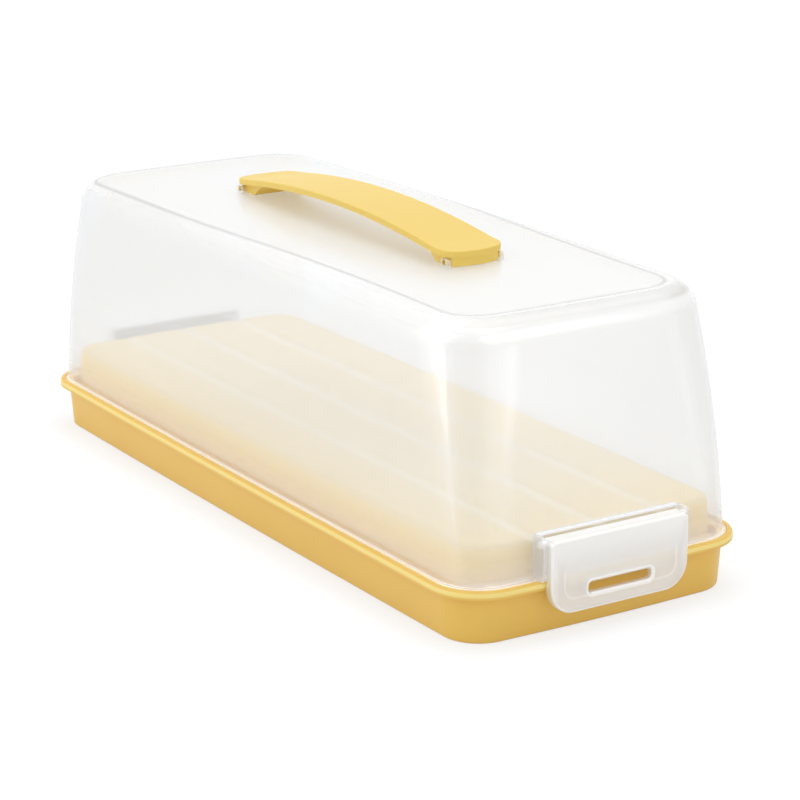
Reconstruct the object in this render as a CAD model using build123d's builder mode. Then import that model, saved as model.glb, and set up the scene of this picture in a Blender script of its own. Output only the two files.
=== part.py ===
"""Cake container for loaf cakes: a tray with a raised platform, a clear hood with a
strap handle, and two hinged clips that hold the hood down on the tray's rim.

All sizes are in millimetres.  +X runs along the length, +Z is up, and the origin is
on the surface that the tray stands on, under the middle of the tray.
"""
import os
from math import tan, radians

from build123d import *

# Tray: the plan outline at the rim, which every other outline follows
tray_length = 373.4
tray_width = 142.8
tray_corner = 22.0
end_bow = 1.7
side_bow = 1.1

# Tray: rim, skirt and platform
tray_wall = 2.0
rim_height = 20.0
bead_height = 3.2
bead_reach = 4.2
bead_round = 1.5
crest_width = 2.4
seat_drop = 1.2
seat_width = 3.9
gutter_depth = 4.0
skirt_draft = 4.0
foot_round = 1.3
platform_height = 37.5
platform_inset = 10.4
platform_draft = 1.5
platform_edge = 2.6
groove_count = 3
groove_pitch = 30.6
groove_width = 7.0
groove_depth = 0.9

# Hood: walls that lean in and bulge a little, over a flat flange
hood_wall = 1.8
hood_clearance = 0.3
flange_reach = 1.3
flange_thickness = 1.5
hood_height = 122.9
top_crown = 1.5
end_lean = 13.2
side_lean = 3.2
wall_bulge = 1.5
top_corner = 29.0
top_edge = 11.0

# Handle: an arched strap on two end blocks, pinned between the hood's ears
handle_length = 182.0
handle_width = 30.0
strap_thickness = 2.6
strap_edge = 0.6
arch_rise = 5.4
pad_rise = 1.2
pad_length = 14.0
handle_end_bow = 3.5
handle_corner = 7.5
block_width = 23.0
block_length = 14.5
block_height = 3.7
block_slope = 15.5
block_slope_sag = 1.6
block_inset = 0.5
block_corner = 1.5
block_wall = 1.8
block_rest = 0.1
handle_pin_radius = 1.2
handle_pin_inset = 5.0
handle_pin_drop = 2.0
ear_gap = 0.4
ear_thickness = 2.0
ear_length = 5.6
ear_headroom = 0.3
ear_round = 2.0

# Clips: a panel with turned-back sides that swings on a rod between two cheeks
clip_width = 65.6
clip_top = 40.4
clip_bottom = 9.8
clip_gap = 0.4
clip_depth = 3.6
clip_side_depth = 5.2
clip_side_lift = 0.8
clip_panel = 1.8
clip_side = 1.6
clip_corner = 11.0
clip_top_corner = 2.4
clip_edge = 1.1
window_width = 30.0
window_height = 4.4
window_bottom = 16.4
window_corner = 1.6
window_edge = 0.7
window_border = 1.3
window_border_depth = 1.0
rib_inset = 5.6
rib_width = 1.0
rib_depth = 0.8
rib_top = 32.0
catch_place = 21.0
catch_width = 8.0
catch_height = 1.6
catch_gap = 0.3
rod_radius = 1.5
rod_setback = 5.6
rod_drop = 2.2
rod_end_gap = 0.2
pin_clearance = 0.05
cheek_gap = 0.4
cheek_thickness = 1.8
cheek_margin = 2.8
cheek_rise = 3.3
cheek_corner = 1.8
ledge_thickness = 1.0
ledge_reach = 1.4

# Heights, insets and places that follow from the sizes above
bead_top = rim_height + bead_height
seat_height = bead_top - seat_drop
skirt_inset = bead_reach
seat_inner_inset = crest_width + seat_width
gutter_floor = seat_height - gutter_depth
flange_inset = crest_width + hood_clearance
hood_inset = flange_inset + flange_reach
flange_top = seat_height + flange_thickness
crown_peak = hood_height + top_crown
overshoot = 1.0
clip_back = tray_length / 2 + clip_gap
clip_face = clip_back + clip_depth
panel_back = clip_face - clip_panel
clip_side_foot = bead_top + clip_side_lift
rod_x = clip_face - rod_setback
rod_z = clip_top - rod_drop
catch_top = rim_height - catch_gap
cheek_inner = clip_width / 2 + cheek_gap
cheek_outer = cheek_inner + cheek_thickness
cheek_top = rod_z + cheek_rise
shoulder = handle_length / 2 - pad_length
pin_x = handle_length / 2 - handle_pin_inset
ear_place = block_width / 2 + ear_gap + ear_thickness / 2


def outline(height, inset=0.0, corner=None, length=tray_length, width=tray_width):
    """Return the tray's plan outline at a height, taken in by inset on every side.

    The four sides bow slightly outwards and meet in round corners.
    """
    x_end, y_side = length / 2 - inset, width / 2 - inset
    x_corner, y_corner = x_end - end_bow, y_side - side_bow
    corner_radius = (tray_corner if corner is None else corner) - inset
    with BuildSketch(Plane.XY.offset(height)) as shape:
        with BuildLine():
            ThreePointArc((-x_corner, -y_corner), (0, -y_side), (x_corner, -y_corner))
            ThreePointArc((x_corner, -y_corner), (x_end, 0), (x_corner, y_corner))
            ThreePointArc((x_corner, y_corner), (0, y_side), (-x_corner, y_corner))
            ThreePointArc((-x_corner, y_corner), (-x_end, 0), (-x_corner, -y_corner))
        make_face()
        fillet(shape.vertices(), radius=corner_radius)
    return shape.sketch


def drafted(height, inset, depth, draft):
    """Return a solid that drops by depth below an outline and grows by draft degrees."""
    foot_inset = inset - depth * tan(radians(draft))
    with BuildPart() as block:
        loft([outline(height, inset), outline(height - depth, foot_inset)], ruled=True)
    return block.part


def lean_at(height):
    """Return how far the hood's walls have come in at a height, at the ends and sides."""
    share = (height - seat_height) / (crown_peak - seat_height)
    bulge = 4 * wall_bulge * share * (1 - share)
    return end_lean * share - bulge, side_lean * share - bulge


def hood_form(skin):
    """Return the hood's closed form, taken in by skin on every side but the bottom.

    Three outlines are lofted, and the top is cut to a long arc and rounded over.
    """
    levels = [seat_height, (seat_height + crown_peak) / 2, crown_peak + overshoot]
    with BuildPart() as form:
        sections = []
        for level in levels:
            end_in, side_in = lean_at(level)
            share = (level - seat_height) / (crown_peak - seat_height)
            base_corner = tray_corner - hood_inset
            corner = base_corner + (top_corner - base_corner) * share
            sections.append(
                outline(
                    level,
                    skin,
                    corner,
                    tray_length - 2 * (hood_inset + end_in),
                    tray_width - 2 * (hood_inset + side_in),
                )
            )
        loft(sections)
        with BuildSketch(Plane.XZ) as profile:
            half = tray_length / 2
            peak, ends = crown_peak - skin, hood_height - skin
            with BuildLine():
                Polyline((half, ends), (half, 0), (-half, 0), (-half, ends))
                ThreePointArc((-half, ends), (0, peak), (half, ends))
            make_face()
        extrude(amount=tray_width, both=True, mode=Mode.INTERSECT)
        top_edges = form.faces().sort_by(Axis.Z)[-1].edges()
        fillet(top_edges, radius=top_edge - skin)
    return form.part


def plan_block(inset, width, corner):
    """Return an upright block with the handle's bowed ends, taken in by inset."""
    tip = handle_length / 2 - inset
    side = width / 2
    corner_x = tip - handle_end_bow * (width / handle_width) ** 2
    with BuildPart() as block:
        with BuildSketch() as plan:
            with BuildLine():
                Line((-corner_x, -side), (corner_x, -side))
                ThreePointArc((corner_x, -side), (tip, 0), (corner_x, side))
                Line((corner_x, side), (-corner_x, side))
                ThreePointArc((-corner_x, side), (-tip, 0), (-corner_x, -side))
            make_face()
            fillet(plan.vertices(), radius=corner)
        extrude(amount=arch_height + overshoot)
    return block.part


def top_at(x):
    """Return the height of the hood's top at a distance along its length."""
    return crown_peak - top_crown * (x / (tray_length / 2)) ** 2


# Heights of the handle, built up from the hood's top under its end blocks
block_floor = top_at(handle_length / 2 - block_length) + block_rest
tip_under = block_floor + block_height
tip_height = tip_under + strap_thickness
shoulder_height = tip_height + pad_rise
arch_height = shoulder_height + arch_rise
pin_z = tip_under - handle_pin_drop
ear_top = tip_under - ear_headroom


def arch_at(x):
    """Return the height of the strap's upper face at a distance from the middle."""
    return arch_height - arch_rise * (x / shoulder) ** 2


def end_block(end):
    """Return one of the handle's end blocks, hollow below, for the +X or -X end."""
    tip = handle_length / 2
    flat_x = tip - block_length
    slope_x = flat_x - block_slope
    middle_x = (flat_x + slope_x) / 2
    slope_z = arch_at(slope_x) - strap_thickness
    middle_z = (block_floor + slope_z) / 2 + block_slope_sag
    core = strap_thickness / 2
    with BuildPart() as block:
        with BuildSketch(Plane.XZ):
            with BuildLine():
                Polyline(
                    (end * tip, tip_height - core),
                    (end * tip, block_floor),
                    (end * flat_x, block_floor),
                )
                ThreePointArc(
                    (end * flat_x, block_floor),
                    (end * middle_x, middle_z),
                    (end * slope_x, slope_z),
                )
                Polyline(
                    (end * slope_x, slope_z),
                    (end * slope_x, slope_z + core / 2),
                    (end * shoulder, shoulder_height - core),
                    (end * tip, tip_height - core),
                )
            make_face()
        extrude(amount=block_width / 2, both=True)
        add(plan_block(block_inset, block_width, block_corner), mode=Mode.INTERSECT)
        with BuildSketch(Plane.XZ):
            with Locations((end * pin_x, pin_z)):
                Circle(handle_pin_radius)
        extrude(amount=ear_place + ear_thickness / 2, both=True)
    with BuildPart() as cavity:
        with BuildSketch(Plane.XY.offset(block_floor - overshoot)):
            with Locations((end * (flat_x + block_wall + tip) / 2, 0)):
                Rectangle(tip - flat_x - block_wall, block_width)
        extrude(amount=block_height + overshoot)
        inner = plan_block(block_inset + block_wall, block_width - 2 * block_wall, block_corner / 2)
        add(inner, mode=Mode.INTERSECT)
    return block.part - cavity.part


# Tray
with BuildPart() as tray:
    # Skirt: the outer wall, leaning in towards the foot
    add(drafted(rim_height + overshoot, skirt_inset, rim_height + overshoot, -skirt_draft))
    foot_edges = tray.faces().sort_by(Axis.Z)[0].edges()
    fillet(foot_edges, radius=foot_round)
    # Rim: bead outside, and a flat seat for the hood inside its crest
    extrude(outline(rim_height), amount=bead_height)
    bead_edges = tray.faces().sort_by(Axis.Z)[-1].edges()
    fillet(bead_edges, radius=bead_round)
    extrude(outline(seat_height, crest_width), amount=bead_height, mode=Mode.SUBTRACT)
    # Gutter between the seat and the platform
    extrude(
        outline(gutter_floor, seat_inner_inset),
        amount=bead_height + gutter_depth,
        mode=Mode.SUBTRACT,
    )
    # Platform for the cake
    platform_drop = platform_height - gutter_floor + tray_wall
    add(drafted(platform_height, platform_inset, platform_drop, platform_draft))
    platform_edges = tray.faces().sort_by(Axis.Z)[-1].edges()
    fillet(platform_edges, radius=platform_edge)
    # Hollow underside: the skirt's inside, then the platform's
    hollow_top = gutter_floor - tray_wall
    foot_inset = skirt_inset + (rim_height + overshoot) * tan(radians(skirt_draft))
    hollow_inset = foot_inset + tray_wall - hollow_top * tan(radians(skirt_draft))
    add(drafted(hollow_top, hollow_inset, hollow_top, -skirt_draft), mode=Mode.SUBTRACT)
    under_top = platform_height - tray_wall
    under_inset = platform_inset + tray_wall + tray_wall * tan(radians(platform_draft))
    add(drafted(under_top, under_inset, under_top, platform_draft), mode=Mode.SUBTRACT)
    # Grooves along the platform, each with a ridge below that keeps the plate's wall
    groove_radius = (groove_width**2 / 4 + groove_depth**2) / (2 * groove_depth)
    groove_axis = platform_height - groove_depth + groove_radius
    with BuildSketch(Plane.YZ):
        with Locations((0, groove_axis)):
            with GridLocations(groove_pitch, 0, groove_count, 1):
                Circle(groove_radius + tray_wall)
        with Locations((0, under_top)):
            Rectangle(tray_width, 2 * groove_depth, mode=Mode.INTERSECT)
    extrude(amount=tray_length / 2 - platform_inset - tray_wall / 2, both=True)
    with BuildSketch(Plane.YZ):
        with Locations((0, groove_axis)):
            with GridLocations(groove_pitch, 0, groove_count, 1):
                Circle(groove_radius)
    extrude(amount=tray_length / 2, both=True, mode=Mode.SUBTRACT)
tray.part.label = "base_tray"

# Hood
with BuildPart() as hood:
    add(hood_form(0))
    extrude(outline(seat_height, flange_inset), amount=flange_thickness)
    # Cheeks at both ends carry the clips, under a short ledge
    cheek_face = rod_x + cheek_margin
    for cheek_start in (cheek_inner, -cheek_outer):
        with BuildSketch(Plane.XZ.offset(-cheek_start)) as cheek:
            with Locations((0, flange_top)):
                Rectangle(2 * cheek_face, cheek_top - flange_top, align=(Align.CENTER, Align.MIN))
            fillet(cheek.vertices().group_by(Axis.Y)[-1], radius=cheek_corner)
        extrude(amount=-cheek_thickness)
    with BuildSketch(Plane.XY.offset(cheek_top - ledge_thickness)):
        ledge_in = hood_inset + lean_at(cheek_top)[0] - ledge_reach
        Rectangle(tray_length - 2 * ledge_in, 2 * cheek_inner)
    extrude(amount=ledge_thickness)
    # Ears on the top hold the handle's pins
    ear_foot = hood_height - hood_wall / 2
    for side in (1, -1):
        with BuildSketch(Plane.XZ.offset(-side * ear_place)) as ears:
            with Locations((pin_x, ear_foot), (-pin_x, ear_foot)):
                Rectangle(ear_length, ear_top - ear_foot, align=(Align.CENTER, Align.MIN))
            fillet(ears.vertices().group_by(Axis.Y)[-1], radius=ear_round)
        extrude(amount=ear_thickness / 2, both=True)
    # Inside
    add(hood_form(hood_wall), mode=Mode.SUBTRACT)
    # Holes for the clips' rods and the handle's pins
    with BuildSketch(Plane.XZ):
        with Locations((rod_x, rod_z), (-rod_x, rod_z)):
            Circle(rod_radius + pin_clearance)
    extrude(amount=cheek_outer + overshoot, both=True, mode=Mode.SUBTRACT)
    with BuildSketch(Plane.XZ):
        with Locations((pin_x, pin_z), (-pin_x, pin_z)):
            Circle(handle_pin_radius + pin_clearance)
    extrude(amount=handle_width / 2, both=True, mode=Mode.SUBTRACT)
hood.part.label = "hood"

# Handle
with BuildPart() as handle:
    # Strap: sloping end pads and a long arch between them, cut to the plan outline
    tip = handle_length / 2
    pad_under = shoulder_height - strap_thickness
    with BuildSketch(Plane.XZ):
        with BuildLine():
            Polyline(
                (shoulder, shoulder_height), (tip, tip_height), (tip, tip_under), (shoulder, pad_under)
            )
            ThreePointArc(
                (shoulder, pad_under), (0, arch_height - strap_thickness), (-shoulder, pad_under)
            )
            Polyline(
                (-shoulder, pad_under),
                (-tip, tip_under),
                (-tip, tip_height),
                (-shoulder, shoulder_height),
            )
            ThreePointArc(
                (-shoulder, shoulder_height), (0, arch_height), (shoulder, shoulder_height)
            )
        make_face()
    extrude(amount=handle_width / 2, both=True)
    add(plan_block(0, handle_width, handle_corner), mode=Mode.INTERSECT)
    upper_faces = handle.faces().filter_by(lambda face: face.normal_at().Z > 0.7)
    upper_rim = upper_faces.edges().filter_by(
        lambda edge: abs(abs(edge.center().X) - shoulder) > strap_edge
    )
    fillet(upper_rim, radius=strap_edge)
    add(end_block(1))
    add(end_block(-1))
handle.part.label = "handle"

# Clip on the +X end
with BuildPart() as right_clip:
    clip_height = clip_top - clip_bottom
    with BuildSketch(Plane.YZ.offset(rod_x - rod_drop)) as face:
        with Locations((0, clip_bottom)):
            Rectangle(clip_width, clip_height, align=(Align.CENTER, Align.MIN))
        fillet(face.vertices().group_by(Axis.Y)[0], radius=clip_corner)
        fillet(face.vertices().group_by(Axis.Y)[-1], radius=clip_top_corner)
    extrude(amount=clip_face - rod_x + rod_drop)
    front_edges = right_clip.faces().sort_by(Axis.X)[-1].edges()
    fillet(front_edges, radius=clip_edge)
    # Cut back to clear the bead, deeper above it, with a round lobe at the hinge
    with BuildSketch(Plane.XZ):
        with Locations((clip_back, clip_bottom)):
            Rectangle(clip_depth, clip_height, align=(Align.MIN, Align.MIN))
        with Locations((clip_face, clip_side_foot)):
            Rectangle(clip_side_depth, clip_top - clip_side_foot, align=(Align.MAX, Align.MIN))
        with Locations((rod_x, rod_z)):
            Circle(rod_drop)
            Rectangle(clip_depth, 2 * rod_drop, align=(Align.MIN, Align.CENTER))
    extrude(amount=clip_width, both=True, mode=Mode.INTERSECT)
    # Hollow back
    with BuildSketch(Plane.YZ.offset(rod_x - rod_drop)):
        add(face.sketch_local)
        offset(amount=-clip_side, mode=Mode.REPLACE)
    extrude(amount=panel_back - rod_x + rod_drop, mode=Mode.SUBTRACT)
    # Ribs behind the panel: an open frame, and a border around the window
    with BuildSketch(Plane.YZ.offset(panel_back)):
        add(face.sketch_local)
        offset(amount=-rib_inset, mode=Mode.REPLACE)
        offset(amount=-rib_width, mode=Mode.SUBTRACT)
        with Locations((0, rib_top)):
            Rectangle(clip_width, clip_height, align=(Align.CENTER, Align.MIN), mode=Mode.SUBTRACT)
    extrude(amount=-rib_depth)
    window_middle = window_bottom + window_height / 2
    border = 2 * window_border
    with BuildSketch(Plane.YZ.offset(panel_back)):
        with Locations((0, window_middle)):
            RectangleRounded(
                window_width + border, window_height + border, window_corner + window_border
            )
    extrude(amount=-window_border_depth)
    with BuildSketch(Plane.YZ.offset(clip_back)):
        with Locations((0, window_middle)):
            RectangleRounded(window_width, window_height, window_corner)
    extrude(amount=clip_depth, mode=Mode.SUBTRACT)
    panel_face = right_clip.faces().sort_by(Axis.X)[-1]
    chamfer(panel_face.inner_wires().edges(), length=window_edge)
    # Catches at bead level, just outside the tray's bead
    for side in (1, -1):
        with BuildSketch(Plane.XZ.offset(-side * catch_place)):
            with BuildLine():
                Polyline(
                    (panel_back, catch_top),
                    (clip_back, catch_top),
                    (clip_back, catch_top - catch_height / 2),
                    (panel_back, catch_top - catch_height),
                    close=True,
                )
            make_face()
        extrude(amount=catch_width / 2, both=True)
    # Rod: runs the clip's full width and on into the cheeks
    with BuildSketch(Plane.XZ):
        with Locations((rod_x, rod_z)):
            Circle(rod_radius)
    extrude(amount=cheek_outer - rod_end_gap, both=True)
right_clip.part.label = "right_clip"

# The same clip on the -X end
with BuildPart() as left_clip:
    add(right_clip.part.rotate(Axis.Z, 180))
left_clip.part.label = "left_clip"

os.makedirs("parts", exist_ok=True)
for piece in (tray, hood, handle, right_clip, left_clip):
    export_step(piece.part, f"parts/{piece.part.label}.step")
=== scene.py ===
"""Looks of a long cake carrier: yellow tray and handle, clear hood, milky end clips.

Everything stands in the part's own frame: +X along the length, +Z up, and the origin on
the ground under the middle of the tray. Shapes hold their sizes in millimetres and give
their meshes in metres; finishes and the stage are in metres.
"""

from __future__ import annotations

import logging
import math
from dataclasses import dataclass
from enum import Enum

import bpy
import numpy as np
from mathutils import Matrix, Vector


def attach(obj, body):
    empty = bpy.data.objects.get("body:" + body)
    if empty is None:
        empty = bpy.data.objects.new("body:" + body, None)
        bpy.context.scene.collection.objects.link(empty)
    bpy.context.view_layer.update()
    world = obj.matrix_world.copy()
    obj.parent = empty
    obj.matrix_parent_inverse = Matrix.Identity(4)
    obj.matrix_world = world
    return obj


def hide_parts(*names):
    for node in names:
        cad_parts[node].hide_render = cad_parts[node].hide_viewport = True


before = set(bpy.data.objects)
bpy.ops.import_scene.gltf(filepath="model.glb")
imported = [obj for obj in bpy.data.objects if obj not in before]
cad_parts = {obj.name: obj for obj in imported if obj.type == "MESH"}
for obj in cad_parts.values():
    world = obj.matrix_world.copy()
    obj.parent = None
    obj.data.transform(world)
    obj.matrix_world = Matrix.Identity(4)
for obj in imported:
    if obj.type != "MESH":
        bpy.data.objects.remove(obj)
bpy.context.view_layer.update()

LOG = logging.getLogger("cake_carrier")
MM = 0.001
MERGE_DIGITS = 5
WHITE = (1.0, 1.0, 1.0)
ENDS = ((1, "right"), (-1, "left"))
HANDS = ((1, "a"), (-1, "b"))

Socket = bpy.types.NodeSocket
Colour = Point = tuple[float, float, float]
# A span is where a change starts and ends. A band adds half the width of its soft edges.
Span = tuple[float, float]
Band = tuple[float, float, float]


class Slot(Enum):
    """Names of material slots, which no piece in this script takes."""

    CLEAR = "clear_plastic"
    MILKY = "milky_plastic"


class Trait(Enum):
    """Names of the mesh attributes that steer the hood's plastic."""

    HAZE = "haze"
    RIDGE = "ridge"
    GLEAM = "gleam"


# Node graphs


@dataclass
class Graph:
    """A material's or world's node tree, with short ways to add and join nodes."""

    tree: bpy.types.NodeTree

    def join(self, source: object, target: Socket) -> None:
        """Link an output to an input, or write a plain value into it.

        Args:
            source: An output, a number, or a colour.
            target: The input.
        """
        if isinstance(source, Socket):
            self.tree.links.new(source, target)
        elif isinstance(source, tuple):
            target.default_value = (*source, 1.0)
        else:
            target.default_value = source

    def add(self, kind: str, **sockets: object) -> bpy.types.Node:
        """Add a node and set its named inputs.

        Args:
            kind: The node's type, without its ShaderNode prefix.
            **sockets: Outputs or values by input name, spaces written as underscores.

        Returns:
            The new node.
        """
        node = self.tree.nodes.new("ShaderNode" + kind)
        for name, source in sockets.items():
            self.join(source, node.inputs[name.replace("_", " ")])
        return node

    def calc(self, kind: str, first: object, *others: object) -> Socket:
        """Work out one kind of arithmetic, step by step from left to right.

        Args:
            kind: The Math node's operation.
            first: A number or an output.
            *others: What each step takes with the result so far, if anything.

        Returns:
            The result's output.
        """
        result = first
        for other in others or (0.0,):
            node = self.add("Math")
            node.operation = kind
            self.join(result, node.inputs[0])
            self.join(other, node.inputs[1])
            result = node.outputs[0]
        return result

    def times(self, *values: object) -> Socket:
        """Multiply several values."""
        return self.calc("MULTIPLY", *values)

    def plus(self, *values: object) -> Socket:
        """Add several values up."""
        return self.calc("ADD", *values)

    def minus(self, first: object, second: object) -> Socket:
        """Take the second value from the first."""
        return self.calc("SUBTRACT", first, second)

    def most(self, *values: object) -> Socket:
        """Return the largest of several values."""
        return self.calc("MAXIMUM", *values)

    def least(self, *values: object) -> Socket:
        """Return the smallest of several values."""
        return self.calc("MINIMUM", *values)

    def size(self, value: Socket) -> Socket:
        """Return a value without its sign."""
        return self.calc("ABSOLUTE", value)

    def ramp(
        self, value: Socket, start: float, end: float, first: float = 0.0, last: float = 1.0
    ) -> Socket:
        """Map a range smoothly onto another, held at both ends.

        Args:
            value: The value's output.
            start: Where the range starts.
            end: Where it ends.
            first: The result up to the start.
            last: The result from the end on.

        Returns:
            The result's output.
        """
        node = self.add(
            "MapRange", Value=value, From_Min=start, From_Max=end, To_Min=first, To_Max=last
        )
        node.interpolation_type = "SMOOTHSTEP"
        return node.outputs["Result"]

    def band(self, value: Socket, low: float, high: float, soft: float) -> Socket:
        """Return 1 where a value lies between two limits, with soft edges.

        Args:
            value: The value's output.
            low: Lower limit.
            high: Upper limit.
            soft: Half the width of each soft edge.

        Returns:
            The band's output.
        """
        rise = self.ramp(value, low - soft, low + soft)
        fall = self.ramp(value, high - soft, high + soft)
        return self.minus(rise, fall)

    def tinted(self, base: object, colour: Colour, share: Socket) -> Socket:
        """Mix a plain colour into another.

        Args:
            base: The first colour, or its output.
            colour: The plain colour.
            share: The plain colour's share.

        Returns:
            The mixed colour's output.
        """
        return self.add("MixRGB", Color1=base, Color2=colour, Fac=share).outputs["Color"]

    def blend(self, first: Socket, second: Socket, share: object) -> Socket:
        """Mix two shaders.

        Args:
            first: The first shader's output.
            second: The second shader's output.
            share: The second one's share, a number or an output.

        Returns:
            The mixed shader's output.
        """
        node = self.add("MixShader", Fac=share)
        self.join(first, node.inputs[1])
        self.join(second, node.inputs[2])
        return node.outputs["Shader"]

    def place(self) -> Socket:
        """Read the object's own coordinates."""
        return self.add("TexCoord").outputs["Object"]

    def axes(self) -> tuple[Socket, ...]:
        """Read the X, Y and Z of the object's own coordinates."""
        return tuple(self.add("SeparateXYZ", Vector=self.place()).outputs)

    def noise(self, scale: float, detail: float) -> Socket:
        """Make noise that sits on the object."""
        node = self.add("TexNoise", Vector=self.place(), Scale=scale, Detail=detail)
        return node.outputs["Fac"]

    def rounded_distance(
        self, across: Socket, up: Socket, half: Span, middle: float, corner: float
    ) -> Socket:
        """Return the distance to a rounded rectangle's edge, negative inside.

        The two coordinates, folded onto one quadrant, are measured from the corner
        circle's centre; outside it the distance is the length of what is positive.

        Args:
            across: The coordinate across.
            up: The coordinate up.
            half: Half the rectangle's width and height.
            middle: Height of its middle.
            corner: Corner radius.

        Returns:
            The distance's output.
        """
        over_x = self.minus(self.size(across), half[0] - corner)
        over_y = self.minus(self.size(self.minus(up, middle)), half[1] - corner)
        out_x, out_y = self.most(over_x, 0.0), self.most(over_y, 0.0)
        square = self.plus(self.times(out_x, out_x), self.times(out_y, out_y))
        inside = self.least(self.most(over_x, over_y), 0.0)
        return self.minus(self.plus(self.calc("SQRT", square), inside), corner)


def new_material(name: str) -> tuple[bpy.types.Material, Graph]:
    """Make an empty node material.

    Args:
        name: The material's name.

    Returns:
        The material and its graph, cleared.
    """
    material = bpy.data.materials.new(name)
    material.use_nodes = True
    material.node_tree.nodes.clear()
    return material, Graph(material.node_tree)


# Finishes


@dataclass(frozen=True)
class SatinPlastic:
    """Opaque moulded polypropylene: fine satin grain and a faint drift of colour."""

    name: str
    colour: Colour
    drift_colour: Colour
    drift_scale: float = 18.0
    drift_detail: float = 2.0
    drift_span: Span = (0.35, 0.65)
    roughness: float = 0.40
    refraction: float = 1.49
    grain: float = 0.10
    grain_scale: float = 1400.0
    grain_detail: float = 3.0
    grain_depth: float = 0.2 * MM

    def tint(self, graph: Graph) -> Socket:
        """Mix the two shades by large, soft noise.

        Args:
            graph: The material's graph.

        Returns:
            The colour's output.
        """
        cloud = graph.noise(self.drift_scale, self.drift_detail)
        share = graph.ramp(cloud, *self.drift_span)
        return graph.tinted(self.colour, self.drift_colour, share)

    def build(self) -> bpy.types.Material:
        """Make the material.

        Returns:
            The finished material.
        """
        material, graph = new_material(self.name)
        fine = graph.noise(self.grain_scale, self.grain_detail)
        bump = graph.add("Bump", Strength=self.grain, Distance=self.grain_depth, Height=fine)
        shader = graph.add(
            "BsdfPrincipled",
            Base_Color=self.tint(graph),
            Roughness=self.roughness,
            IOR=self.refraction,
            Normal=bump.outputs["Normal"],
        )
        graph.add("OutputMaterial", Surface=shader.outputs["BSDF"])
        return material


@dataclass(frozen=True)
class TrayPlastic(SatinPlastic):
    """The tray's satin plastic, with painted light laid over the two drifting colours.

    Inside the rim it is painted paler, a painted light for what reaches it through the
    hood, and the platform's top is painted creamy, a painted sheen. Its three grooves
    are painted paler still, a painted highlight. A painted highlight runs along the bead's
    crest, and painted shade darkens the strips above and below it.
    """

    # Painted light: paler inside the rim and on the seat, for the light that reaches them through
    # the hood.
    inner_light_colour: Colour = (0.965, 0.715, 0.220)
    inner_half: Span = (178.8 * MM, 63.4 * MM)
    inner_corner: float = 16.0 * MM
    inner_edge: Span = (0.3 * MM, -0.3 * MM)
    seat_edge: Span = (5.2 * MM, 4.8 * MM)
    seat_levels: Span = (21.6 * MM, 21.9 * MM)
    # Painted highlight along the bead's crest, and painted shade on the bead's face and on its
    # brow.
    crest_highlight_colour: Colour = (1.0, 0.86, 0.32)
    crest_highlight_share: float = 0.65
    crest_highlight_band: Band = (21.0 * MM, 22.6 * MM, 0.3 * MM)
    bead_shade_colour: Colour = (0.76, 0.49, 0.095)
    bead_shade_share: float = 0.6
    bead_shade_band: Band = (18.2 * MM, 20.2 * MM, 0.5 * MM)
    brow_shade_levels: Span = (22.8 * MM, 23.1 * MM)
    # Painted sheen: the platform's top paler and creamier.
    top_sheen_colour: Colour = (0.825, 0.640, 0.285)
    top_levels: Span = (35.6 * MM, 36.6 * MM)
    # Painted highlight: the three grooves paler still.
    groove_highlight_colour: Colour = (0.96, 0.88, 0.66)
    groove_highlight_share: float = 0.55
    groove_pitch: float = 30.6 * MM
    groove_edge: Span = (3.4 * MM, 2.6 * MM)
    groove_shift: float = 10.5
    groove_reach: Span = (45.9 * MM, 45.4 * MM)

    def grooves(self, graph: Graph, across: Socket) -> Socket:
        """Return 1 in the three grooves.

        The distance to the nearest groove is the remainder of Y, shifted by ten and a
        half pitches to keep it positive, less half a pitch.

        Args:
            graph: The material's graph.
            across: The Y coordinate's output.

        Returns:
            The share's output.
        """
        shifted = graph.plus(across, self.groove_shift * self.groove_pitch)
        part = graph.calc("MODULO", shifted, self.groove_pitch)
        away = graph.size(graph.minus(part, 0.5 * self.groove_pitch))
        near = graph.ramp(away, *self.groove_edge)
        return graph.times(near, graph.ramp(graph.size(across), *self.groove_reach))

    def tint(self, graph: Graph) -> Socket:
        """Lay the painted light, painted highlights and painted shade over the two drifting
        colours, one after the other.

        Args:
            graph: The material's graph.

        Returns:
            The colour's output.
        """
        x, y, z = graph.axes()
        plan = graph.rounded_distance(x, y, self.inner_half, 0.0, self.inner_corner)
        on_seat = graph.times(graph.ramp(plan, *self.seat_edge), graph.ramp(z, *self.seat_levels))
        within = graph.most(graph.ramp(plan, *self.inner_edge), on_seat)
        crest = graph.band(z, *self.crest_highlight_band)
        face = graph.most(graph.band(z, *self.bead_shade_band), graph.ramp(z, *self.brow_shade_levels))
        top = graph.ramp(z, *self.top_levels)
        # Painted highlight on the crest, painted shade on the bead's face and brow, painted light
        # inside the rim, painted sheen on top and painted highlight in the grooves.
        layers = (
            (self.crest_highlight_colour, graph.times(crest, self.crest_highlight_share)),
            (self.bead_shade_colour, graph.times(face, graph.minus(1.0, within), self.bead_shade_share)),
            (self.inner_light_colour, within),
            (self.top_sheen_colour, top),
            (self.groove_highlight_colour, graph.times(self.grooves(graph, y), top, self.groove_highlight_share)),
        )
        shade = super().tint(graph)
        for colour, share in layers:
            shade = graph.tinted(shade, colour, share)
        return shade


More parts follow.
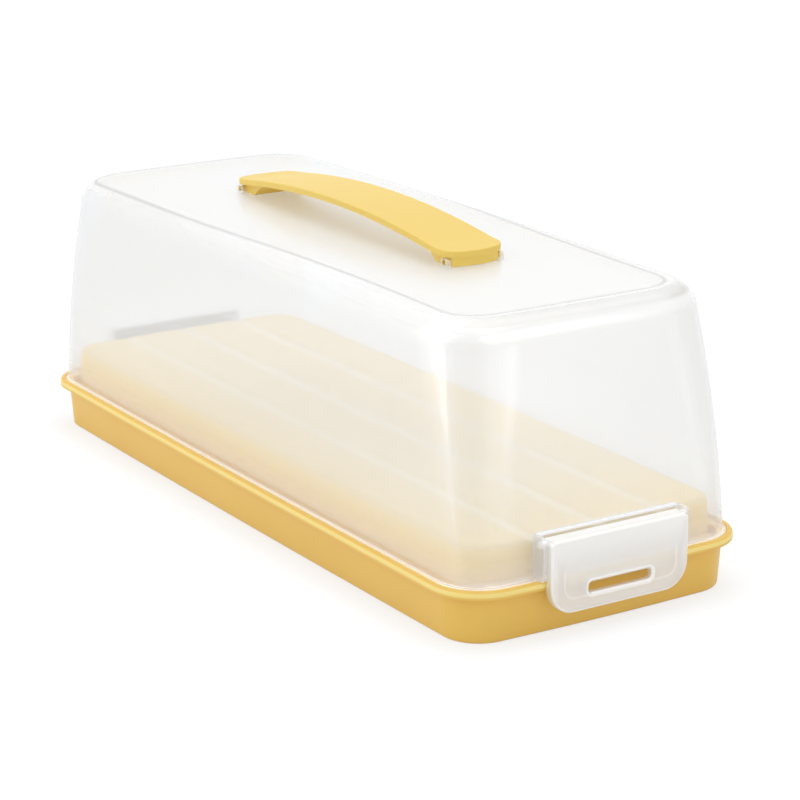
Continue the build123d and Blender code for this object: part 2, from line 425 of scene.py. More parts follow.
@dataclass(frozen=True)
class SheerPlastic:
    """Thin polypropylene that veils what stands behind it, with a glossy skin.

    The veil is part pale pigment, part light let through and part broad soft sheen.
    It thickens where the surface turns away, as a moulded wall's edge does, and greys
    there: a painted shade for the dark outline of such an edge.
    Lamps shine through it, because so thin a wall throws no shadow of its own.
    """

    name: str
    veil: float
    edge_veil: float
    colour: Colour = (0.915, 0.938, 0.975)
    # Painted shade: the grey that a turned-away edge shows.
    edge_shade_colour: Colour = (0.60, 0.61, 0.62)
    veil_span: Span = (0.80, 1.0)
    edge_span: Span = (0.86, 0.985)
    pigment_roughness: float = 0.50
    through_share: float = 0.25
    satin_share: float = 0.50
    satin_roughness: float = 0.50
    roughness: float = 0.16
    mirror_share: float = 0.04
    glance_share: float = 0.35
    glance_power: float = 5.0
    most_veil: float = 0.96
    most_mirror: float = 0.90

    def facing(self, graph: Graph) -> Socket:
        """Return 0 where the surface faces the eye and 1 where it turns away."""
        return graph.add("LayerWeight", Blend=0.5).outputs["Facing"]

    def amount(self, graph: Graph) -> Socket:
        """Return how much of the veil shows: more where the surface turns away."""
        return graph.ramp(self.facing(graph), *self.veil_span, self.veil, self.edge_veil)

    def grey(self, graph: Graph) -> Socket:
        """Return the share of the painted edge shade, which only the last few degrees show."""
        return graph.ramp(self.facing(graph), *self.edge_span)

    def mirror(self, graph: Graph) -> Socket:
        """Return the mirrored share, the same from both sides and more at a glance."""
        glance = graph.calc("POWER", self.facing(graph), self.glance_power)
        return graph.plus(graph.times(glance, self.glance_share), self.mirror_share)

    def build(self) -> bpy.types.Material:
        """Make the material.

        Returns:
            The finished material.
        """
        material, graph = new_material(self.name)
        through = graph.add("BsdfTransparent").outputs[0]
        tone = graph.tinted(self.colour, self.edge_shade_colour, self.grey(graph))
        pigment = graph.add(
            "BsdfPrincipled",
            Base_Color=tone,
            Roughness=self.pigment_roughness,
            Specular_IOR_Level=0.0,
        )
        beyond = graph.add("BsdfTranslucent", Color=tone)
        satin = graph.add("BsdfGlossy", Color=tone, Roughness=self.satin_roughness)
        gloss = graph.add("BsdfGlossy", Color=WHITE, Roughness=self.roughness)
        lit = graph.blend(pigment.outputs[0], beyond.outputs[0], self.through_share)
        cloud = graph.blend(lit, satin.outputs[0], self.satin_share)
        veil = graph.blend(through, cloud, self.amount(graph))
        sheen = graph.blend(veil, gloss.outputs[0], self.mirror(graph))
        lamplight = graph.add("LightPath").outputs["Is Shadow Ray"]
        graph.add("OutputMaterial", Surface=graph.blend(sheen, through, lamplight))
        return material


@dataclass(frozen=True)
class HoodPlastic(SheerPlastic):
    """The hood's clear plastic, with painted dark lines, painted shade and painted highlights
    for what a clear moulding's edges show.

    Attributes of the mesh steer it: haze is the veil's density, ridge is the distance
    in from the top edge's upper tangent, negative down the edge, and gleam is the strength
    of the painted highlight on a tight bend or up a corner.
    """

    # Painted shade: the dark line along the top edge.
    line_span: Span = (-70.0 * MM, 100.0 * MM)
    line_shift: Span = (-4.0 * MM, 2.0 * MM)
    line_end: float = 3.3 * MM
    line_end_span: Span = (150.0 * MM, 168.0 * MM)
    line_band: Band = (-1.0 * MM, 1.0 * MM, 0.5 * MM)
    line_grey: float = 0.80
    line_veil: float = 0.38
    # Painted shade: grey down the rounded edge at the ends.
    end_span: Span = (150.0 * MM, 160.0 * MM)
    edge_shade: float = 0.90
    edge_band: Band = (-8.0 * MM, 0.5 * MM, 1.2 * MM)
    deeper_levels: Span = (0.5 * MM, -7.5 * MM)
    gleam_span: Span = (0.02, 0.15)
    # Painted highlights: a bright line beside the dark one, and bright bands down the edge.
    bright_line: float = 0.50
    bright_line_band: Band = (-4.2 * MM, -1.5 * MM, 0.5 * MM)
    bright_line_span: Span = (105.0 * MM, 140.0 * MM)
    bright_share: float = 0.35
    side_highlight_band: Band = (-9.5 * MM, -4.5 * MM, 1.2 * MM)
    side_span: Span = (-80.0 * MM, -40.0 * MM)
    end_highlight_top: Span = (-7.0 * MM, -9.0 * MM)
    end_highlight_foot: Span = (-14.5 * MM, -10.0 * MM)

    def read(self, graph: Graph, trait: Trait) -> Socket:
        """Read one of the mesh's attributes.

        Args:
            graph: The material's graph.
            trait: The attribute.

        Returns:
            Its value's output.
        """
        node = graph.add("Attribute")
        node.attribute_name = trait.value
        return node.outputs["Fac"]

    def at_end(self, graph: Graph) -> Socket:
        """Return 1 near the two ends."""
        return graph.ramp(graph.size(graph.axes()[0]), *self.end_span)

    def from_line(self, graph: Graph) -> Socket:
        """Work out the distance in from the top edge's painted dark line.

        Along the long sides it lies below the upper tangent on the left and above it on
        the right, and at the right end it lies farther in still.

        Args:
            graph: The material's graph.

        Returns:
            The distance's output.
        """
        along = graph.axes()[0]
        side = graph.ramp(along, *self.line_span, *self.line_shift)
        end = graph.ramp(along, *self.line_end_span, 0.0, self.line_end)
        return graph.minus(self.read(graph, Trait.RIDGE), graph.plus(side, end))

    def dark_line(self, graph: Graph) -> Socket:
        """Return 1 on the top edge's painted dark line, a painted shade."""
        return graph.band(self.from_line(graph), *self.line_band)

    def amount(self, graph: Graph) -> Socket:
        """Scale the veil by the mesh's haze, and add the painted dark line.

        Args:
            graph: The material's graph.

        Returns:
            The amount's output.
        """
        dense = graph.times(self.read(graph, Trait.HAZE), self.veil)
        turned = graph.minus(super().amount(graph), self.veil)
        line = graph.times(self.dark_line(graph), self.line_veil)
        return graph.least(graph.plus(dense, turned, line), self.most_veil)

    def grey(self, graph: Graph) -> Socket:
        """Find the painted shade's share: where the skin turns away, and on the dark line.

        Bends with a painted highlight show none of it. At the ends the rounded edge is
        painted greyer downwards, a painted shade.

        Args:
            graph: The material's graph.

        Returns:
            The share's output.
        """
        shining = graph.ramp(self.read(graph, Trait.GLEAM), *self.gleam_span, 1.0, 0.0)
        turned = graph.times(super().grey(graph), shining)
        line = graph.times(self.dark_line(graph), self.line_grey)
        ridge = self.read(graph, Trait.RIDGE)
        edge = graph.band(ridge, *self.edge_band)
        deeper = graph.ramp(ridge, *self.deeper_levels, 0.5 * self.edge_shade, self.edge_shade)
        return graph.most(turned, line, graph.times(edge, deeper, self.at_end(graph)))

    def mirror(self, graph: Graph) -> Socket:
        """Add painted highlights: more of the white gloss where the rounded edges would catch
        light.

        A narrow painted line follows the dark one towards the ends and round them. A painted band
        lies halfway down the edge along the long sides, and a little lower on the ends.

        Args:
            graph: The material's graph.

        Returns:
            The share's output.
        """
        along = graph.axes()[0]
        ridge, at_end = self.read(graph, Trait.RIDGE), self.at_end(graph)
        line = graph.times(
            graph.band(self.from_line(graph), *self.bright_line_band),
            graph.ramp(graph.size(along), *self.bright_line_span),
            self.bright_line,
        )
        side_highlight_band = graph.times(
            graph.band(ridge, *self.side_highlight_band),
            graph.ramp(along, *self.side_span),
            graph.minus(1.0, at_end),
        )
        end_band = graph.times(
            graph.ramp(ridge, *self.end_highlight_top),
            graph.ramp(ridge, *self.end_highlight_foot),
            at_end,
        )
        bands = graph.times(graph.plus(end_band, side_highlight_band), self.bright_share)
        bends = graph.plus(graph.most(line, bands), self.read(graph, Trait.GLEAM))
        return graph.least(graph.plus(super().mirror(graph), bends), self.most_mirror)


@dataclass(frozen=True)
class ClipPlastic(SheerPlastic):
    """The clips' milky plastic, denser over what is moulded behind the panel, with painted
    highlights on its rounded edges and painted shade low down.
    """

    window_half: Span = (15.0 * MM, 2.2 * MM)
    window_middle: float = 18.6 * MM
    window_corner: float = 1.6 * MM
    # Painted highlight: a denser white veil round the window's edge.
    window_highlight: Band = (-0.2 * MM, 1.6 * MM, 0.4 * MM)
    panel_half: Span = (32.8 * MM, 35.3 * MM)
    panel_middle: float = 45.1 * MM
    panel_corner: float = 11.0 * MM
    ribs: Band = (-6.6 * MM, -5.6 * MM, 0.5 * MM)
    rib_levels: Span = (32.0 * MM, 24.0 * MM)
    rib_share: float = 0.4
    # Painted highlight: a denser white veil along the panel's rim.
    rim: Span = (-1.3 * MM, -0.7 * MM)
    rim_highlight_share: float = 0.9
    returns: Span = (28.6 * MM, 31.0 * MM)
    return_share: float = 0.35
    shelf_levels: Span = (24.0 * MM, 40.0 * MM)
    shelf_share: float = 0.55
    dense: float = 0.32
    # Painted shade: the low part greyed, darker downwards.
    shade_levels: Span = (35.0 * MM, 19.0 * MM)
    low_shade: float = 0.20

    def amount(self, graph: Graph) -> Socket:
        """Add what the back of the panel carries, and painted highlights on the rounded edges.

        These are a painted highlight round the window's edge, the faint open frame of ribs, the
        return along both sides, the shelf behind the upper part, and a painted highlight along
        the panel's rim. The panel's outline is taken as running on upwards, so that only its
        two lower corners are round.

        Args:
            graph: The material's graph.

        Returns:
            The amount's output.
        """
        _, across, up = graph.axes()
        window = graph.rounded_distance(
            across, up, self.window_half, self.window_middle, self.window_corner
        )
        panel = graph.rounded_distance(
            across, up, self.panel_half, self.panel_middle, self.panel_corner
        )
        ribs = graph.times(graph.band(panel, *self.ribs), self.rib_share)
        marks = graph.most(
            graph.band(window, *self.window_highlight),
            graph.times(ribs, graph.ramp(up, *self.rib_levels)),
            graph.times(graph.ramp(panel, *self.rim), self.rim_highlight_share),
            graph.times(graph.ramp(graph.size(across), *self.returns), self.return_share),
            graph.times(graph.ramp(up, *self.shelf_levels), self.shelf_share),
        )
        total = graph.plus(super().amount(graph), graph.times(marks, self.dense))
        return graph.least(total, self.most_veil)

    def grey(self, graph: Graph) -> Socket:
        """Return the turned-away painted grey, or the low part's painted shade where that is more.
        """
        low = graph.ramp(graph.axes()[2], *self.shade_levels)
        return graph.most(super().grey(graph), graph.times(low, self.low_shade))


# Surfaces


@dataclass(frozen=True)
class PlanOutline:
    """The plan outline that tray and hood follow: bowed sides and round corners.

    A strip is the middle and width, in outline points, and the strength of its painted highlight.
    """

    half_length: float = 186.7
    half_width: float = 71.4
    end_bow: float = 1.7
    side_bow: float = 1.1
    end_points: int = 12
    corner_points: int = 14
    side_points: int = 20
    end_strip: Band = (0.2, 0.8, 0.6)
    side_strip: Band = (9.24, 0.75, 1.0)

    def loops(
        self, end_inset: np.ndarray, side_inset: np.ndarray, corner: np.ndarray
    ) -> np.ndarray:
        """Work out closed outlines, one for each row.

        A side is an arc through its bowed middle and its two corners; the corner
        circle touches both arcs from inside, so its centre lies where circles about
        the arcs' centres, smaller by the corner radius, meet.

        Args:
            end_inset: How far the ends come in, one value a row.
            side_inset: How far the sides come in, one value a row.
            corner: Corner radius, one value a row.

        Returns:
            Points of shape rows, points, 2, anticlockwise from the +X end.
        """
        end_x = (self.half_length - end_inset)[:, None]
        side_y = (self.half_width - side_inset)[:, None]
        radius = corner[:, None]
        corner_x, corner_y = end_x - self.end_bow, side_y - self.side_bow
        side_radius = (corner_x**2 + self.side_bow**2) / (2 * self.side_bow)
        end_radius = (corner_y**2 + self.end_bow**2) / (2 * self.end_bow)
        side_low, end_low = side_y - side_radius, end_x - end_radius
        gap = np.hypot(end_low, side_low)
        reach_end, reach_side = end_radius - radius, side_radius - radius
        along = (reach_end**2 - reach_side**2 + gap**2) / (2 * gap)
        height = np.sqrt(np.maximum(reach_end**2 - along**2, 0.0))
        unit_x, unit_y = -end_low / gap, side_low / gap
        centre_x = end_low + along * unit_x + height * -unit_y
        centre_y = along * unit_y + height * unit_x
        end_angle = np.arctan2(centre_y, centre_x - end_low)
        side_angle = np.arctan2(centre_y - side_low, centre_x)
        end_t = np.linspace(0.0, 1.0, self.end_points, endpoint=False)
        corner_t = np.linspace(0.0, 1.0, self.corner_points, endpoint=False)
        side_t = np.linspace(0.0, 1.0, self.side_points)
        arcs = (
            (end_low, 0.0, end_radius, end_angle * end_t),
            (centre_x, centre_y, radius, end_angle + (side_angle - end_angle) * corner_t),
            (0.0, side_low, side_radius, side_angle + (math.pi / 2 - side_angle) * side_t),
        )
        x = np.hstack([middle + reach * np.cos(turn) for middle, _, reach, turn in arcs])
        y = np.hstack([middle + reach * np.sin(turn) for _, middle, reach, turn in arcs])
        x[:, -1] = 0.0
        back = slice(-2, None, -1)
        top_x, top_y = np.hstack([x, -x[:, back]]), np.hstack([y, y[:, back]])
        low_x, low_y = top_x[:, -2:0:-1], -top_y[:, -2:0:-1]
        return np.dstack([np.hstack([top_x, low_x]), np.hstack([top_y, low_y])])

    def corner_gleam(self) -> np.ndarray:
        """Work out the painted highlight strips up a corner: bell curves over its points.

        One strip stands where the end's arc meets the corner, and one a third of the
        corner away from the long side.

        Returns:
            One value a point, up to 1.
        """
        count = 2 * (self.end_points + self.corner_points + self.side_points) - 1
        place = np.arange(count)
        place = np.minimum(place, count - 1 - place) - self.end_points
        upper = sum(
            strength * np.exp(-(((place - middle) / width) ** 2))
            for middle, width, strength in (self.end_strip, self.side_strip)
        )
        return np.concatenate([upper, upper[-2:0:-1]])


def closed_grid(
    name: str, points: np.ndarray, traits: dict[Trait, np.ndarray] | None = None
) -> bpy.types.Object:
    """Make one closed mesh from rows of loops, whose first and last rows have no area.

    Neighbouring points of neighbouring rows make a quad; points at the same place are
    merged, and quads that lose a corner become triangles.

    Args:
        name: The object's name.
        points: Places in millimetres, of shape rows, points, 3.
        traits: Values by attribute, of shape rows, points.

    Returns:
        The object, with smooth shading.
    """
    rows, count = points.shape[:2]
    flat = points.reshape(-1, 3)
    _, first, merged = np.unique(
        np.round(flat, MERGE_DIGITS), axis=0, return_index=True, return_inverse=True
    )
    merged = merged.reshape(rows, count)
    turned = np.roll(merged, -1, axis=1)
    quads = np.stack([merged[:-1], turned[:-1], turned[1:], merged[1:]], axis=-1).reshape(-1, 4)
    same = quads == np.roll(quads, -1, axis=1)
    whole = quads[~same.any(axis=1)]
    pinched = quads[same.sum(axis=1) == 1]
    drop = np.argmax(pinched == np.roll(pinched, -1, axis=1), axis=1)
    keep = (drop[:, None] + np.array([1, 2, 3])) % 4
    triangles = np.take_along_axis(pinched, keep, axis=1)
    mesh = bpy.data.meshes.new(name)
    places = flat[first] * MM
    mesh.from_pydata(places.tolist(), [], whole.tolist() + triangles.tolist())
    mesh.polygons.foreach_set("use_smooth", np.ones(len(mesh.polygons), dtype=bool))
    for trait, values in (traits or {}).items():
        attribute = mesh.attributes.new(trait.value, "FLOAT", "POINT")
        attribute.data.foreach_set("value", values.reshape(-1)[first].astype(np.float32))
    mesh.update()
    piece = bpy.data.objects.new(name, mesh)
    bpy.context.collection.objects.link(piece)
    return piece


def dress(piece: bpy.types.Object, material: bpy.types.Material) -> None:
    """Give a piece its finish and report it.

    Args:
        piece: The piece, new or carried over.
        material: The finish.
    """
    piece.data.materials.clear()
    piece.data.materials.append(material)
    LOG.info("piece %s: %d faces, %s", piece.name, len(piece.data.polygons), material.name)


@dataclass(frozen=True)
class Plate:
    """A flat plate with round corners and rolled edges, as it stands at the +X end."""

    along: Span
    across: Span
    levels: Span
    thin_axis: int
    corner: float
    edge: float
    edge_points: int = 6
    corner_points: int = 7
    fold_share: float = 0.1

    def make(self, name: str, end: int, side: int = 1) -> bpy.types.Object:
        """Make the plate at one end and on one side.

        The outline is a rounded rectangle; rows go from the first face's middle line
        out over a quarter round, across the thickness, and back over a quarter round.

        Args:
            name: The object's name.
            end: 1 for the +X end and -1 for the other.
            side: 1 for the +Y side and -1 for the other.

        Returns:
            The object.
        """
        spans = np.sort(
            [np.multiply(self.along, end), np.multiply(self.across, side), self.levels]
        )
        middle, half = spans.sum(axis=1) / 2, (spans[:, 1] - spans[:, 0]) / 2
        turn = np.linspace(0, math.pi / 2, self.edge_points)
        sinking, rising = self.edge * (1 - np.sin(turn)), self.edge * (1 - np.cos(turn))
        radius = (self.corner - np.concatenate([sinking, sinking[::-1]]))[:, None]
        thick = half[self.thin_axis]
        depth = np.pad(np.concatenate([rising - thick, thick - rising[::-1]]), 2, mode="edge")
        quarter = np.linspace(0, math.pi / 2, self.corner_points)
        angle = np.concatenate([quarter + k * math.pi / 2 for k in range(4)])
        first, second = (axis for axis in range(3) if axis != self.thin_axis)
        places = np.empty((len(depth), len(angle), 3))
        places[..., self.thin_axis] = depth[:, None] + middle[self.thin_axis]
        for axis, other, signs, wave in (
            (first, second, [1, -1, -1, 1], np.cos(angle)),
            (second, first, [1, 1, -1, -1], np.sin(angle)),
        ):
            corners = np.repeat(signs, self.corner_points) * (half[axis] - self.corner)
            rows = corners + radius * wave
            reach = max(half[axis] - half[other], 0.0)
            spine = np.clip(rows[:1], -reach, reach)
            fold = rows[:1] * (1 - self.fold_share) + spine * self.fold_share
            places[..., axis] = np.vstack([spine, fold, rows, fold, spine]) + middle[axis]
        # X and Z turn the other way round seen along Y, so these rows run backwards.
        return closed_grid(name, places[::-1] if self.thin_axis == 1 else places)


# The hood


@dataclass
class Hood:
    """The clear hood: one thin shell with its flange, cheeks, ledges and ears."""

    material: bpy.types.Material
    fitting_material: bpy.types.Material
    ledge_material: bpy.types.Material
    outline: PlanOutline = PlanOutline()
    cheek: Plate = Plate((180.4, 187.9), (33.2, 35.0), (23.3, 41.5), 1, 1.8, 0.3)
    ear: Plate = Plate((83.2, 88.8), (11.9, 13.9), (123.2, 127.6), 1, 1.6, 0.4)
    ledge: Plate = Plate((179.6, 182.4), (-33.4, 33.4), (40.52, 41.5), 2, 0.45, 0.3)
    wall: float = 1.8
    seat: float = 22.0
    flange_top: float = 23.5
    flange_inset: float = 2.7
    flange_corner: float = 22.0
    flange_lift: float = 0.08
    flange_step: float = 0.3
    rim_round: float = 0.45
    foot_fillet: float = 0.5
    foot_inset: float = 4.0
    foot_corner: float = 18.0
    peak: float = 124.4
    crown: float = 1.5
    crown_reach: float = 186.7
    crown_fade: int = 3
    end_lean: float = 13.2
    side_lean: float = 3.2
    bulge: float = 1.5
    top_corner: float = 29.0
    top_edge: float = 11.0
    edge_arc: float = 1.5
    fan_reach: float = 105.0
    spine_reach: float = 104.0
    cap_spread: float = 1.6
    wall_rows: int = 40
    edge_rows: int = 14
    cap_rows: int = 10
    quarter_rows: int = 5
    low_haze: float = 0.61
    haze_start: float = 34.0
    haze_rise: float = 32.0
    foot_haze: float = 0.30
    foot_level: float = 33.0
    foot_rise: float = 8.0
    inner_haze: float = 0.35
    flange_haze: float = 0.90
    under_haze: float = 0.60
    no_ridge: float = -100.0
    # Strengths of the painted highlights: the strips up the corners and the bends at the foot.
    strip_gleam: float = 0.22
    strip_start: float = 28.0
    strip_rise: float = 30.0
    foot_gleam: float = 0.22

    def lean(self, height: np.ndarray | float) -> tuple[np.ndarray, np.ndarray]:
        """Work out how far ends and sides have come in: a lean less a parabola's bulge.

        Args:
            height: One height on the wall, or several.

        Returns:
            How far the ends have come in, and how far the sides have.
        """
        share = (height - self.seat) / (self.peak - self.seat)
        bulge = 4 * self.bulge * share * (1 - share)
        return self.end_lean * share - bulge, self.side_lean * share - bulge

    def top_at(self, x: np.ndarray) -> np.ndarray:
        """Return the height of the crowned top, a parabola along the length."""
        return self.peak - self.crown * (x / self.crown_reach) ** 2

    def roll(self, slope: float, radius: float) -> tuple[np.ndarray, np.ndarray]:
        """Roll a leaning wall over into the top, by a circle that touches both.

        Args:
            slope: How far the wall comes in for each unit up.
            radius: The circle's radius.

        Returns:
            The circle's angle on each edge row, and how far the row has come in.
        """
        lean = math.atan(slope)
        angle = lean + (math.pi / 2 - lean) * np.linspace(0.0, 1.0, self.edge_rows + 1)[1:]
        return angle, radius * (1 / math.cos(lean) - np.cos(angle))

    def veil_rows(self, height: np.ndarray) -> np.ndarray:
        """Work out the veil's density: thin on the low wall, denser at its very foot.

        Args:
            height: Heights of the wall rows.

        Returns:
            One value for each row of a skin.
        """
        low = np.clip((height - self.haze_start) / self.haze_rise, 0.0, 1.0)
        foot = np.clip((self.foot_level - height) / self.foot_rise, 0.0, 1.0)
        walls = self.low_haze + (1.0 - self.low_haze) * low + self.foot_haze * foot
        return np.concatenate([walls, np.ones(self.edge_rows + self.cap_rows)])

    def skin(self, depth: float, lowest: float) -> tuple[np.ndarray, np.ndarray, np.ndarray]:
        """Work out one skin of the shell, from its foot to the top's middle line.

        Wall rows follow the lean. The edge rows are a circle that touches the leaning
        wall and the top. Cap rows run from the last edge row to a line along the
        middle, and their height is the crowned top's.

        Args:
            depth: How far the skin lies inside the outer one.
            lowest: Height of its lowest row.

        Returns:
            Places of shape rows, points, 3, the veil's density on each row, and the
            distance in from the top edge's upper tangent of shape rows, points.
        """
        radius = self.top_edge - depth
        centre = self.peak - depth - radius
        share = np.linspace(0.0, 1.0, self.wall_rows)
        height = lowest + (centre - lowest) * share
        end_in, side_in = self.lean(height)
        rise = (height - self.seat) / (self.peak - self.seat)
        corner = self.foot_corner + (self.top_corner - self.foot_corner) * rise - depth
        walls = self.outline.loops(
            self.foot_inset + end_in + depth, self.foot_inset + side_in + depth, corner
        )
        top_drop = self.crown * (walls[-1, :, 0] / self.crown_reach) ** 2
        wall_z = height[:, None] - np.outer(share**self.crown_fade, top_drop)
        step = 0.05
        slopes = np.subtract(self.lean(centre + step), self.lean(centre)) / step
        (end_angle, end_shift), (side_angle, side_shift) = (
            self.roll(slope, radius) for slope in slopes
        )
        edges = self.outline.loops(
            self.foot_inset + end_in[-1] + depth + end_shift,
            self.foot_inset + side_in[-1] + depth + side_shift,
            corner[-1] - (end_shift + side_shift) / 2,
        )
        rim = edges[-1]
        normal = np.arctan2(rim[:, 1], rim[:, 0] - np.sign(rim[:, 0]) * self.fan_reach)
        blend = np.cos(normal) ** 2
        level = np.outer(np.sin(end_angle), blend) + np.outer(np.sin(side_angle), 1 - blend)
        edge_z = self.top_at(edges[..., 0]) - depth - radius + radius * level
        spine_x = np.clip(rim[:, 0], -self.spine_reach, self.spine_reach)
        pull = (np.linspace(0.0, 1.0, self.cap_rows + 1)[1:] ** self.cap_spread)[:, None]
        cap_x = rim[:, 0] * (1 - pull) + spine_x * pull
        cap_y = rim[:, 1] * (1 - pull)
        places = [
            np.dstack([walls, wall_z]),
            np.dstack([edges, edge_z]),
            np.dstack([cap_x, cap_y, self.top_at(cap_x) - depth]),
        ]
        down = np.concatenate(
            [height - centre - self.edge_arc * radius, radius * (end_angle - math.pi / 2)]
        )
        ridge = [
            np.repeat(down[:, None], len(rim), axis=1),
            np.hypot(cap_x - rim[:, 0], cap_y - rim[:, 1]),
        ]
        return np.concatenate(places), self.veil_rows(height), np.concatenate(ridge)

    def flange(self) -> tuple[np.ndarray, np.ndarray]:
        """Work out the flange's rows, from the outer wall's foot round to the inside.

        A hollow quarter round joins the wall to the flange, and two quarter rounds
        roll the flange's outer edge. Its underside clears the tray's seat by a hair.

        Returns:
            Places of shape rows, points, 3, and the veil's density on each row.
        """
        quarter = np.linspace(0.0, math.pi / 2, self.quarter_rows)
        sinking, rising = 1 - np.sin(quarter), 1 - np.cos(quarter)
        fillet, rim = self.foot_fillet, self.rim_round
        wall_foot = self.foot_inset + self.lean(self.flange_top + fillet)[0]
        lowest = self.seat + self.flange_lift
        inset = np.concatenate(
            [
                wall_foot - fillet * rising,
                self.flange_inset + rim * sinking,
                self.flange_inset + rim * rising,
                [self.foot_inset + self.wall - self.flange_step],
            ]
        )
        level = np.concatenate(
            [
                self.flange_top + fillet * sinking,
                self.flange_top - rim * rising,
                lowest + rim * sinking,
                [lowest],
            ]
        )
        density = np.append(np.full(len(inset) - 1, self.flange_haze), self.under_haze)
        loops = self.outline.loops(inset, inset, self.flange_corner - inset)
        heights = np.repeat(level[:, None], loops.shape[1], axis=1)
        return np.dstack([loops, heights]), density

    def shell(self) -> bpy.types.Object:
        """Make the shell: inner skin from the top down, flange, outer skin up again.

        Returns:
            The object.
        """
        outer, outer_haze, ridge = self.skin(0.0, self.flange_top + self.foot_fillet)
        inner, inner_haze, _ = self.skin(self.wall, self.seat + self.flange_step)
        flange, flange_haze = self.flange()
        places = np.concatenate([inner[::-1], flange[:0:-1], outer])
        haze = np.concatenate([inner_haze[::-1] * self.inner_haze, flange_haze[:0:-1], outer_haze])
        start, count = len(places) - len(outer), places.shape[1]
        gleam = np.zeros((len(places), count))
        # Painted highlight strips up the rounded corners, fading in upwards from low on the wall.
        height = outer[: self.wall_rows, :, 2]
        risen = np.clip((height - self.strip_start) / self.strip_rise, 0.0, 1.0)
        strips = self.strip_gleam * self.outline.corner_gleam() * risen
        gleam[start : start + self.wall_rows] = strips
        # The painted highlights on the hollow at the wall's foot and on the upper round of the
        # flange's rim.
        gleam[start - 3 : start + 1] = self.foot_gleam
        gleam[start - 9 : start - 5] = self.foot_gleam
        traits = {
            Trait.HAZE: np.repeat(haze[:, None], count, axis=1),
            Trait.RIDGE: np.vstack([np.full((start, count), self.no_ridge), ridge]) * MM,
            Trait.GLEAM: gleam,
        }
        return closed_grid("hood_shell", places, traits)

    def fittings(self) -> list[tuple[bpy.types.Object, bpy.types.Material]]:
        """Make the cheeks and ledges for the clips and the ears for the handle.

        Returns:
            Each object with its finish.
        """
        pieces = []
        for end, word in ENDS:
            for side, hand in HANDS:
                for kind, plate in (("cheek", self.cheek), ("ear", self.ear)):
                    piece = plate.make(f"{word}_{kind}_{hand}", end, side)
                    pieces.append((piece, self.fitting_material))
            pieces.append((self.ledge.make(f"{word}_ledge", end), self.ledge_material))
        return pieces

    def build(self) -> None:
        """Make every piece of the hood, dress it and let it ride with the hood."""
        shell = self.shell()
        for piece, material in [(shell, self.material), *self.fittings()]:
            dress(piece, material)
            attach(piece, "hood")
        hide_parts("hood")


# The clips


@dataclass
class ClipShelf:
    """The shelf along a clip's top, from the panel back over the rod."""

    material: bpy.types.Material
    clip: str
    end: int
    plate: Plate = Plate((183.6, 187.4), (-31.8, 31.8), (39.5, 40.2), 2, 0.6, 0.25)

    def build(self) -> None:
        """Make the shelf, dress it and let it ride on its clip."""
        shelf = self.plate.make(f"{self.clip}_shelf", self.end)
        dress(shelf, self.material)
        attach(shelf, self.clip)


# The stage


@dataclass(frozen=True)
class Lamp:
    """One soft square lamp that faces the middle of the object."""

    name: str
    place: Point
    size: float
    power: float
    aim: Point = (0.0, 0.0, 0.06)

    def hang(self) -> None:
        """Make the lamp and turn it to the object."""
        data = bpy.data.lights.new(self.name, "AREA")
        data.shape = "SQUARE"
        data.size = self.size
        data.energy = self.power
        lamp = bpy.data.objects.new(self.name, data)
        lamp.location = self.place
        way = Vector(self.aim) - Vector(self.place)
        lamp.rotation_euler = way.to_track_quat("-Z", "Y").to_euler()
        bpy.context.collection.objects.link(lamp)


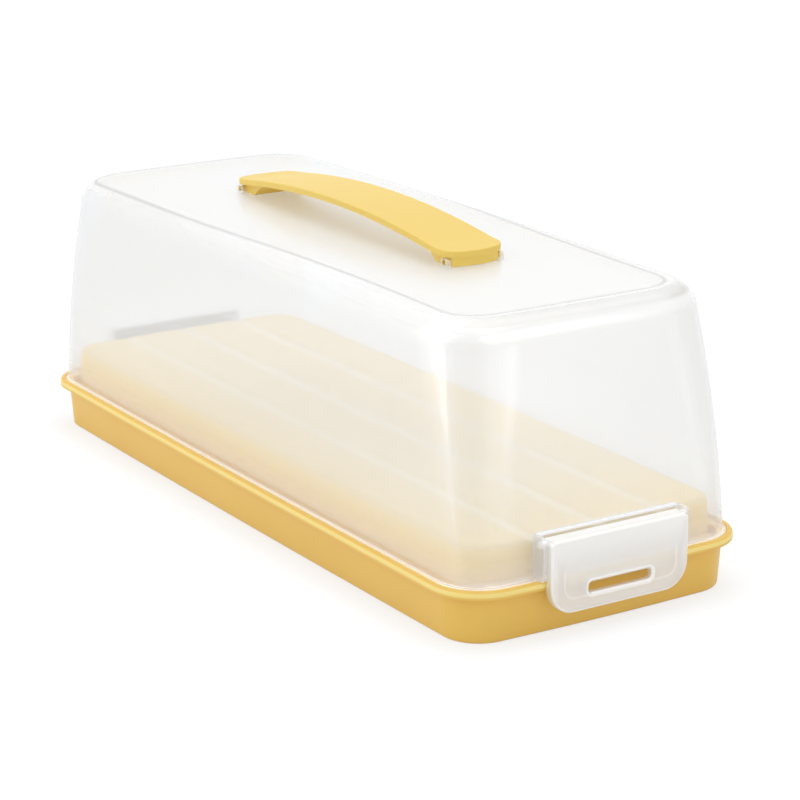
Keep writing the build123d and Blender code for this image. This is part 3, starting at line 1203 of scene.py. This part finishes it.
@dataclass(frozen=True)
class Studio:
    """Plain floor, soft lamps, pale world and the camera."""

    position: Point = (0.9586, -0.5784, 0.3799)
    azimuth: float = 58.298
    elevation: float = 16.587
    roll: float = -0.469
    focal_pixels: float = 2632.24
    shift_pixels: Span = (-8.868, -5.884)
    frame_pixels: float = 800.0
    sensor: float = 36.0
    nearest: float = 0.01
    room_light: float = 0.58
    floor_half: float = 4.0
    floor_glow: Colour = (0.665, 0.675, 0.685)
    floor_tone: Colour = (0.350, 0.355, 0.360)
    floor_bounce: Colour = (0.85, 0.85, 0.85)
    glow_span: Span = (0.3, 3.5)
    glow_far: float = 1.4
    seeing_rays: tuple[str, ...] = ("Camera", "Glossy", "Transmission")
    lamps: tuple[Lamp, ...] = (
        Lamp("top_lamp", (-0.20, 0.25, 1.50), 1.6, 11.0),
        Lamp("side_lamp", (-0.40, -1.50, 0.80), 1.8, 9.2),
        Lamp("end_lamp", (1.50, 0.30, 0.70), 1.6, 4.4),
    )

    def camera(self) -> None:
        """Place the camera by its angles and make it the scene's own."""
        az, el, roll = (math.radians(v) for v in (self.azimuth, self.elevation, self.roll))
        back = np.array([math.sin(az) * math.cos(el), -math.cos(az) * math.cos(el), math.sin(el)])
        right = np.array([math.cos(az), math.sin(az), 0.0])
        up = np.cross(back, right)
        turned_right = right * math.cos(roll) + up * math.sin(roll)
        turned_up = -right * math.sin(roll) + up * math.cos(roll)
        data = bpy.data.cameras.new("camera")
        data.sensor_width = self.sensor
        data.lens = self.focal_pixels * self.sensor / self.frame_pixels
        data.shift_x = -self.shift_pixels[0] / self.frame_pixels
        data.shift_y = self.shift_pixels[1] / self.frame_pixels
        data.clip_start = self.nearest
        camera = bpy.data.objects.new("camera", data)
        turn = Matrix(np.column_stack([turned_right, turned_up, back]).tolist()).to_4x4()
        camera.matrix_world = Matrix.Translation(self.position) @ turn
        bpy.context.collection.objects.link(camera)
        bpy.context.scene.camera = camera

    def seen(self, graph: Graph) -> Socket:
        """Return 1 for camera, glossy and transmission rays, which see the backdrop."""
        rays = graph.add("LightPath").outputs
        return graph.most(*(rays[f"Is {kind} Ray"] for kind in self.seeing_rays))

    def floor(self) -> None:
        """Lay the white floor, which keeps the object's shadow and glows more far out."""
        far = self.floor_half
        mesh = bpy.data.meshes.new("floor")
        corners = [(-far, -far, 0), (far, -far, 0), (far, far, 0), (-far, far, 0)]
        mesh.from_pydata(corners, [], [(0, 1, 2, 3)])
        floor = bpy.data.objects.new("floor", mesh)
        bpy.context.collection.objects.link(floor)
        material, graph = new_material("floor_white")
        seen = self.seen(graph)
        x, y, _ = graph.axes()
        square = graph.plus(graph.times(x, x), graph.times(y, y))
        strength = graph.times(seen, graph.ramp(square, *self.glow_span, 1.0, self.glow_far))
        shade = graph.tinted(self.floor_bounce, self.floor_tone, seen)
        both = graph.add("AddShader")
        graph.join(graph.add("BsdfDiffuse", Color=shade).outputs[0], both.inputs[0])
        glow = graph.add("Emission", Color=self.floor_glow, Strength=strength)
        graph.join(glow.outputs[0], both.inputs[1])
        graph.add("OutputMaterial", Surface=both.outputs[0])
        mesh.materials.append(material)

    def world(self) -> None:
        """Light the scene evenly and show white where nothing stands."""
        world = bpy.data.worlds.new("pale_room")
        world.use_nodes = True
        world.node_tree.nodes.clear()
        graph = Graph(world.node_tree)
        light, white = (
            graph.add("Background", Color=WHITE, Strength=strength).outputs[0]
            for strength in (self.room_light, 1.0)
        )
        graph.add("OutputWorld", Surface=graph.blend(light, white, self.seen(graph)))
        bpy.context.scene.world = world

    def build(self) -> None:
        """Set the whole stage."""
        self.floor()
        self.world()
        for lamp in self.lamps:
            lamp.hang()
        self.camera()
        bpy.context.scene.view_settings.view_transform = "Standard"


def main() -> None:
    """Build every piece in order."""
    logging.basicConfig(level=logging.INFO, format="%(name)s %(message)s")
    handle = SatinPlastic("handle_satin", (0.840, 0.603, 0.122), (0.825, 0.583, 0.115))
    tray = TrayPlastic("tray_satin", (0.835, 0.537, 0.107), (0.820, 0.520, 0.101))
    clear = HoodPlastic("hood_clear", veil=0.47, edge_veil=0.75)
    fitting = SheerPlastic("fitting_clear", veil=0.32, edge_veil=0.80)
    ledge = SheerPlastic("ledge_clear", veil=0.66, edge_veil=0.85)
    milky = ClipPlastic(
        "clip_milky",
        veil=0.47,
        edge_veil=0.85,
        colour=(0.975, 0.968, 0.955),
        satin_share=0.85,
        roughness=0.25,
    )
    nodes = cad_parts
    dress(nodes["base_tray"], tray.build())
    dress(nodes["handle"], handle.build())
    clip_material = milky.build()
    for end, word in ENDS:
        dress(nodes[f"{word}_clip"], clip_material)
        ClipShelf(clip_material, f"{word}_clip", end).build()
    Hood(clear.build(), fitting.build(), ledge.build()).build()
    Studio().build()


if __name__ == "__main__":
    main()
